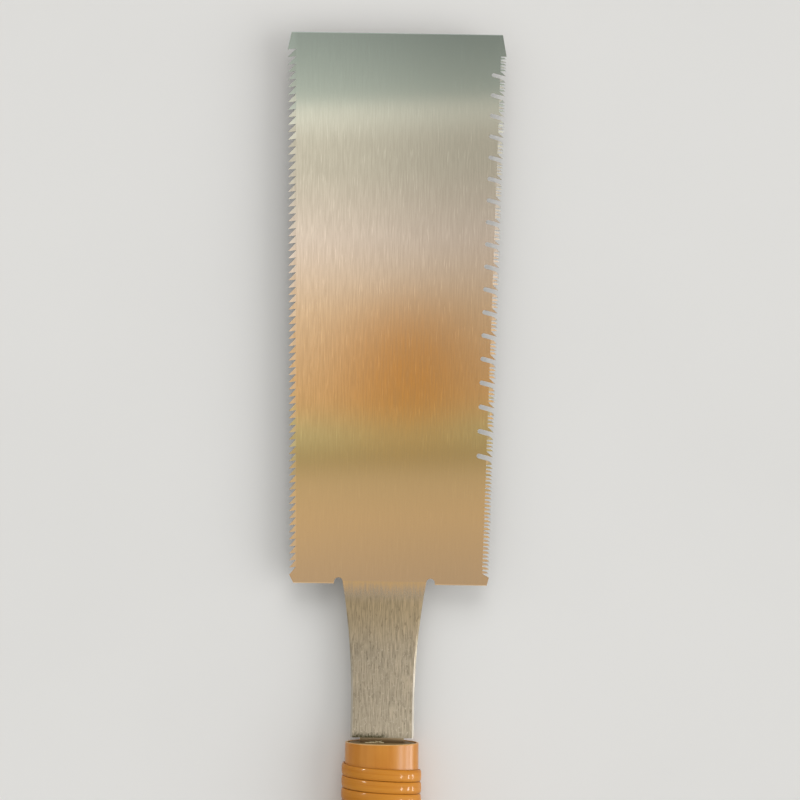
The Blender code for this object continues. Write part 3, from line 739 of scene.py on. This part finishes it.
# %% [markdown]
# ## The collar
#
# Two tubes could be joined at their ends, but one profile, a long flat rectangle spun once round the axis,
# gives both walls and both rims at once. A bevel then rounds the rims, which would otherwise look like cut
# card. Smooth shading would carry that rounding along the whole sleeve, so one more ring of points just
# behind each rim stops it.

# %% Collar
COLLAR_WALL = 0.0009
COLLAR_RIM = 0.0003
RIM_GUARD = 0.0006
OVAL_STEPS = 96
RIM_ANGLE = radians(60)

bm = bmesh.new()
stations = [RIM, RIM - RIM_GUARD, collar_low.y + RIM_GUARD, collar_low.y]
outside = [(station, 0.0) for station in stations]
inside = [(station, -COLLAR_WALL) for station in reversed(stations)]
profile = add_profile(bm, outside + inside)
bmesh.ops.spin(bm, geom=profile, axis=(0, 1, 0), angle=2 * pi, steps=OVAL_STEPS, use_merge=True)
set_on_oval(bm)
bmesh.ops.recalc_face_normals(bm, faces=bm.faces)
rims = [edge for edge in bm.edges if edge.calc_face_angle(0.0) > RIM_ANGLE]
bmesh.ops.bevel(bm, geom=rims, offset=COLLAR_RIM, affect="EDGES", segments=3, profile=0.5, material=-1)
finish_piece(bm, "mouth_collar", collar_finish, "collar", "front_collar")

# %% [markdown]
# ## The winding's finish
#
# Behind the collar a split strip of rattan is wound round the handle and lacquered. Fibres run along the
# strip, painted shade darkens its edges where the turns meet, and the lacquer lies on the uneven skin so
# that highlights break up. All of this follows the strip and not the saw, so the material reads an attribute
# of the mesh: how far along and how far across the strip each point lies.

# %% Winding finish
STRIP_WIDTH = 0.00540
RATTAN_ORANGE = (0.63, 0.254, 0.030, 1.0)
RATTAN_DEEP = (0.54, 0.194, 0.015, 1.0)
RATTAN_CREASE_SHADE = (0.42, 0.150, 0.012, 1.0)
RATTAN_FIBRES = (28.0, 3600.0, 1.0)
RATTAN_BANDS = (22.0, 420.0, 1.0)
RATTAN_FIBRE_SHARE = 0.45
RATTAN_LEVELS = (0.36, 0.64)
RATTAN_GLOSS = (0.46, 0.36)
CREASE_REACH = (0.44, 0.50)
CREASE_STRENGTH = 0.9
SKIN = (300.0, 420.0, 1.0)
SKIN_DEPTH = 5e-5
FIBRE_RELIEF = 0.15

rattan, tree, shader, _ = new_finish("lacquered_rattan")
strip = add_node(tree, "ShaderNodeAttribute", attribute_name="strip_place").outputs["Vector"]
fibres = stretched_noise(tree, strip, RATTAN_FIBRES, detail=3.0)
bands = stretched_noise(tree, strip, RATTAN_BANDS)
skin = stretched_noise(tree, strip, SKIN)
grain = blend(tree, RATTAN_FIBRE_SHARE, bands, fibres)
colour = mix_colour(tree, mask(tree, grain, *RATTAN_LEVELS), RATTAN_DEEP, RATTAN_ORANGE)
off_middle = calc(tree, "DIVIDE", calc(tree, "ABSOLUTE", split(tree, strip)["Y"]), STRIP_WIDTH)
# painted shade: the strip's edges are darkened where neighbouring turns meet
crease_shade = mask(tree, off_middle, *CREASE_REACH, 0.0, CREASE_STRENGTH)
tree.links.new(mix_colour(tree, crease_shade, colour, RATTAN_CREASE_SHADE), shader.inputs["Base Color"])
tree.links.new(mask(tree, grain, *GLOSS_LEVELS, *RATTAN_GLOSS), shader.inputs["Roughness"])
add_bump(tree, shader, calc(tree, "MULTIPLY_ADD", fibres, FIBRE_RELIEF, skin), SKIN_DEPTH)
shader.inputs["Specular IOR Level"].default_value = 0.10
shader.inputs["Coat Weight"].default_value = 0.28
shader.inputs["Coat Roughness"].default_value = 0.07
print("winding finish with", len(tree.nodes), "nodes")

# %% [markdown]
# ## The winding
#
# The strip was split from a round cane, so it is flat inside and crowned outside. A plain rectangle would
# look like tape, so the section is a flat base under a low arch with short upright sides.

# %% Section of the strip
STRIP_PITCH = 0.0055
STRIP_HEIGHT = 0.0012
STRIP_SHOULDER = 0.45
STRIP_FLATNESS = 0.95
STRIP_SEAT = 0.0002
SETTLED = 0.0004
WINDING_TURNS = 24
CROWN_STEPS = 10

first_turn = (winding_high.y + winding_low.y + WINDING_TURNS * STRIP_PITCH) / 2 - SETTLED
section = [(first_turn + STRIP_WIDTH / 2, STRIP_SEAT), (first_turn - STRIP_WIDTH / 2, STRIP_SEAT)]
for step in range(CROWN_STEPS + 1):
    angle = pi * step / CROWN_STEPS
    rise = STRIP_SHOULDER + (1 - STRIP_SHOULDER) * sin(angle) ** STRIP_FLATNESS
    section.append((first_turn - cos(angle) * STRIP_WIDTH / 2, STRIP_SEAT + STRIP_HEIGHT * rise))
print("section of", len(section), "points")

# %% [markdown]
# Spinning the section once round, with a small step along the axis, gives one turn. The other turns are
# copies of it, moved on by one pitch and welded end to end, which is quicker than spinning all of them. The
# two open ends are filled, so that the strip is a closed solid.

# %% One turn, copied
TURN_STEPS = 72
WELD = 1e-5

bm = bmesh.new()
profile = add_profile(bm, section)
advance = (0.0, -STRIP_PITCH / TURN_STEPS, 0.0)
bmesh.ops.spin(bm, geom=profile, axis=(0, 1, 0), dvec=advance, angle=2 * pi, steps=TURN_STEPS)
one_turn = [*bm.verts, *bm.edges, *bm.faces]
for number in range(1, WINDING_TURNS):
    copied = bmesh.ops.duplicate(bm, geom=one_turn)["geom"]
    verts = [item for item in copied if isinstance(item, bmesh.types.BMVert)]
    bmesh.ops.translate(bm, verts=verts, vec=(0.0, -number * STRIP_PITCH, 0.0))
bmesh.ops.remove_doubles(bm, verts=bm.verts, dist=WELD)
bmesh.ops.holes_fill(bm, edges=[edge for edge in bm.edges if edge.is_boundary])
print("winding of", len(bm.verts), "points")

# %% [markdown]
# A natural strip wanders and swells a little, and its two ends are thinned and tucked in. The place of each
# point on the strip is worked out from its angle and station, and kept as the attribute that the finish
# reads. Noise of that place then moves the points. Moving them at random would tear the strip's surface,
# while noise moves neighbours alike.

# %% Strip attribute, unevenness and ends
TURN_LENGTH = pi * (COLLAR_HALF.x + COLLAR_HALF.y)
WANDER = 0.00007
WANDER_BENDS = 45.0
WANDER_SLICE = (3.0, 1.0)
SWELL = 0.00005
SWELL_LUMPS = (260.0, 500.0)
SWELL_SLICE = 7.0
TUCK_LENGTH = 0.008
TUCK_HEIGHT = 0.25

strip_place = bm.verts.layers.float_vector.new("strip_place")
for vert in bm.verts:
    angle = atan2(vert.co.z, vert.co.x)
    part = ((-pi / 2 - angle) / (2 * pi)) % 1.0
    turns = part + round((first_turn - vert.co.y) / STRIP_PITCH - part)
    along = turns * TURN_LENGTH
    across = vert.co.y - first_turn + turns * STRIP_PITCH
    vert[strip_place] = (along, across, 0.0)
    from_end = min(along, WINDING_TURNS * TURN_LENGTH - along)
    tuck = TUCK_HEIGHT + (1 - TUCK_HEIGHT) * min(1.0, max(0.0, from_end / TUCK_LENGTH))
    height = hypot(vert.co.x, vert.co.z) - 1.0
    if height > STRIP_SEAT + WELD:
        swell = SWELL * noise.noise((along * SWELL_LUMPS[0], across * SWELL_LUMPS[1], SWELL_SLICE))
        new_height = STRIP_SEAT + (height - STRIP_SEAT) * tuck + swell
        stretch = (1.0 + new_height) / (1.0 + height)
        vert.co.x *= stretch
        vert.co.z *= stretch
    vert.co.y += WANDER * noise.noise((along * WANDER_BENDS, *WANDER_SLICE))
set_on_oval(bm)
bmesh.ops.recalc_face_normals(bm, faces=bm.faces)
finish_piece(bm, "rattan_winding", rattan, "rattan", "rattan_wrap")

# %% [markdown]
# ## The wood's finish
#
# The handle's core is pale, close-grained wood, bare behind the winding. The grain is a set of rings about
# an axis outside the handle, so that they show as long lines on the sides and as arcs on the butt, as on a
# stick split from a trunk. Lines painted on the sides would not meet the arcs at the edge. Each ring
# darkens slowly and ends sharply, and a slow noise makes it wander.

# %% Growth rings
WOOD_PALE = (0.60, 0.42, 0.235, 1.0)
WOOD_LATE = (0.43, 0.265, 0.125, 1.0)
PITH = (0.021, 0.0, -0.034)
ACROSS_TRUNK = (1.0, 0.0, 1.0)
RING_SPACING = 0.0016
RING_WANDER = (28.0, 5.0, 28.0)
RINGS_WANDERED = 6.0
LATE_START = (0.35, 0.90)
LATE_END = (1.0, 0.93)
LATE_STRENGTH = 0.75

wood, tree, shader, place = new_finish("pale_wood")
wander = stretched_noise(tree, place, RING_WANDER, detail=3.0)
from_pith = add_node(tree, "ShaderNodeVectorMath", {0: place, 1: PITH}, operation="SUBTRACT").outputs[0]
flat = add_node(tree, "ShaderNodeVectorMath", {0: from_pith, 1: ACROSS_TRUNK}, operation="MULTIPLY")
radius = add_node(tree, "ShaderNodeVectorMath", {0: flat.outputs[0]}, operation="LENGTH").outputs["Value"]
shift = calc(tree, "MULTIPLY", wander, RINGS_WANDERED)
rings = calc(tree, "FRACT", calc(tree, "MULTIPLY_ADD", radius, 1 / RING_SPACING, shift))
late = calc(tree, "MULTIPLY", mask(tree, rings, *LATE_START), mask(tree, rings, *LATE_END))
colour = mix_colour(tree, calc(tree, "MULTIPLY", late, LATE_STRENGTH), WOOD_PALE, WOOD_LATE)
print("rings", RING_SPACING, "m apart")

# %% [markdown]
# Finer marks lie over the rings: fibres along the handle, and short dark pores. At the mouth the end of the
# wood is darkened, by dirt from hands and by painted shade in the mouth.

# %% Fibres, pores and mouth
WOOD_PORE = (0.25, 0.145, 0.065, 1.0)
WOOD_GRIME_AND_SHADE = (0.23, 0.150, 0.062, 1.0)
WOOD_FIBRES = (1700.0, 32.0, 1700.0)
WOOD_FIBRE_LEVELS = (0.45, 0.75)
WOOD_FIBRE_STRENGTH = 0.35
WOOD_PORES = (2300.0, 90.0, 2300.0)
PORE_LEVELS = (0.64, 0.72)
PORE_STRENGTH = 0.7
PORE_RELIEF = 0.6
WOOD_DARK_REACH = (0.004, 0.0008)
WOOD_DARK_STRENGTH = 0.85
WOOD_GLOSS = (0.50, 0.64)
WOOD_RELIEF = 4e-5

fibres = stretched_noise(tree, place, WOOD_FIBRES, detail=3.0)
pores = stretched_noise(tree, place, WOOD_PORES, detail=1.0)
fibrous = mask(tree, fibres, *WOOD_FIBRE_LEVELS, 0.0, WOOD_FIBRE_STRENGTH)
colour = mix_colour(tree, fibrous, colour, WOOD_LATE)
porous = mask(tree, pores, *PORE_LEVELS, 0.0, PORE_STRENGTH)
colour = mix_colour(tree, porous, colour, WOOD_PORE)
# dirt and painted shade darken the wood at the mouth
behind_rim = calc(tree, "SUBTRACT", RIM, split(tree, place)["Y"])
mouth_grime_and_shade = mask(tree, behind_rim, *WOOD_DARK_REACH, 0.0, WOOD_DARK_STRENGTH)
tree.links.new(mix_colour(tree, mouth_grime_and_shade, colour, WOOD_GRIME_AND_SHADE), shader.inputs["Base Color"])
tree.links.new(mask(tree, fibres, *GLOSS_LEVELS, *WOOD_GLOSS), shader.inputs["Roughness"])
shader.inputs["Specular IOR Level"].default_value = 0.25
sunk = calc(tree, "MULTIPLY", pores, PORE_RELIEF)
add_bump(tree, shader, calc(tree, "SUBTRACT", fibres, sunk), WOOD_RELIEF)
print("wood finish with", len(tree.nodes), "nodes")

# %% [markdown]
# ## The wooden halves
#
# The core is two halves, glued along their flat sides. Their construction shape is already right, so each
# is a copy of it and isn't modelled again: the loose triangles are merged, flat neighbours are dissolved
# into whole faces, and the hard edges are rounded, most of all at the butt. The construction keeps the
# halves a little apart, so their glued faces are drawn together to a fine line.

# %% Wooden halves
WOODEN_HALVES = {"handle_half_upper": "handle_core_upper", "handle_half_lower": "handle_core_lower"}
MERGED = 1e-6
GLUE_LINE = 0.00005
GLUED_REACH = 0.0002
FLAT_ANGLE = radians(1)
HARD_ANGLE = radians(25)
BUTT_REACH = 1.1 * BUTT_CHAMFER
BUTT_ROUNDING = 0.0008
EDGE_ROUNDING = 0.00012

for name, node in WOODEN_HALVES.items():
    bm = bmesh.new()
    bm.from_mesh(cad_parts[node].data)
    bmesh.ops.remove_doubles(bm, verts=bm.verts, dist=MERGED)
    for vert in bm.verts:
        from_joint = vert.co.z - AXIS_HEIGHT
        if abs(from_joint) < GLUED_REACH:
            vert.co.z = AXIS_HEIGHT + copysign(GLUE_LINE / 2, from_joint)
    bmesh.ops.dissolve_limit(bm, angle_limit=FLAT_ANGLE, verts=bm.verts, edges=bm.edges)
    hard = [edge for edge in bm.edges if edge.calc_face_angle(0.0) > HARD_ANGLE]
    at_butt = [edge for edge in hard if max(vert.co.y for vert in edge.verts) < BUTT + BUTT_REACH]
    bmesh.ops.bevel(
        bm, geom=at_butt, offset=BUTT_ROUNDING, affect="EDGES", segments=3, profile=0.5, material=-1,
    )
    sharp = [edge for edge in bm.edges if edge.calc_face_angle(0.0) > RIM_ANGLE]
    bmesh.ops.bevel(
        bm, geom=sharp, offset=EDGE_ROUNDING, affect="EDGES", segments=2, profile=0.5, material=-1,
    )
    finish_piece(bm, name, wood, "handle_wood", node)

# %% [markdown]
# ## Splinters at the mouth
#
# Where the tang was driven in, a few pale splinters of wood stand out of the slit between tang and wood.
# They are freshly torn and much paler than the handled wood, so they have a finish of their own.

# %% Splinter finish
STRAW = (0.88, 0.80, 0.54, 1.0)
STRAW_DARK = (0.62, 0.50, 0.27, 1.0)
STRAW_SPECKLE = (900.0, 900.0, 900.0)
STRAW_LEVELS = (0.35, 0.65)

straw, tree, shader, place = new_finish("pale_splinters")
speckle = stretched_noise(tree, place, STRAW_SPECKLE)
colour = mix_colour(tree, mask(tree, speckle, *STRAW_LEVELS), STRAW_DARK, STRAW)
tree.links.new(colour, shader.inputs["Base Color"])
shader.inputs["Roughness"].default_value = 0.6
print("splinter finish with", len(tree.nodes), "nodes")

# %% [markdown]
# Each splinter is a thin five-sided cone with its thick end in the slit. It points sideways, a little up and
# a little forwards over the steel. The splinters could be placed one by one, but a seeded draw of lengths
# and directions looks more scattered and is the same in each run.

# %% Splinters
SPLINTER_COUNT = 11
SPLINTER_SEED = 4
SPLINTER_LENGTHS = (0.0018, 0.0044)
SPLINTER_RADII = (0.00026, 0.00007)
SPLINTER_SPAN = (-0.0078, 0.0012)
SPLINTER_FORWARD = (0.05, 0.45)
SPLINTER_RISE = (0.10, 0.60)

draw = random.Random(SPLINTER_SEED)
slit = Vector((0.0, wood_high.y, blade_high.z))
bm = bmesh.new()
for index in range(SPLINTER_COUNT):
    share = (index + draw.random()) / SPLINTER_COUNT
    side = SPLINTER_SPAN[0] + share * (SPLINTER_SPAN[1] - SPLINTER_SPAN[0])
    to_middle = 1.0 if side < sum(SPLINTER_SPAN) / 2 else -1.0
    lean = Vector((to_middle, draw.uniform(*SPLINTER_FORWARD), draw.uniform(*SPLINTER_RISE))).normalized()
    length = draw.uniform(*SPLINTER_LENGTHS)
    aim = lean.to_track_quat("Z", "Y").to_matrix().to_4x4()
    centre = slit + Vector((side, 0.0, SPLINTER_RADII[0])) + lean * length / 2
    bmesh.ops.create_cone(
        bm, cap_ends=True, segments=5, radius1=SPLINTER_RADII[0], radius2=SPLINTER_RADII[1],
        depth=length, matrix=Matrix.Translation(centre) @ aim,
    )
finish_piece(bm, "mouth_splinters", straw, "handle_wood")
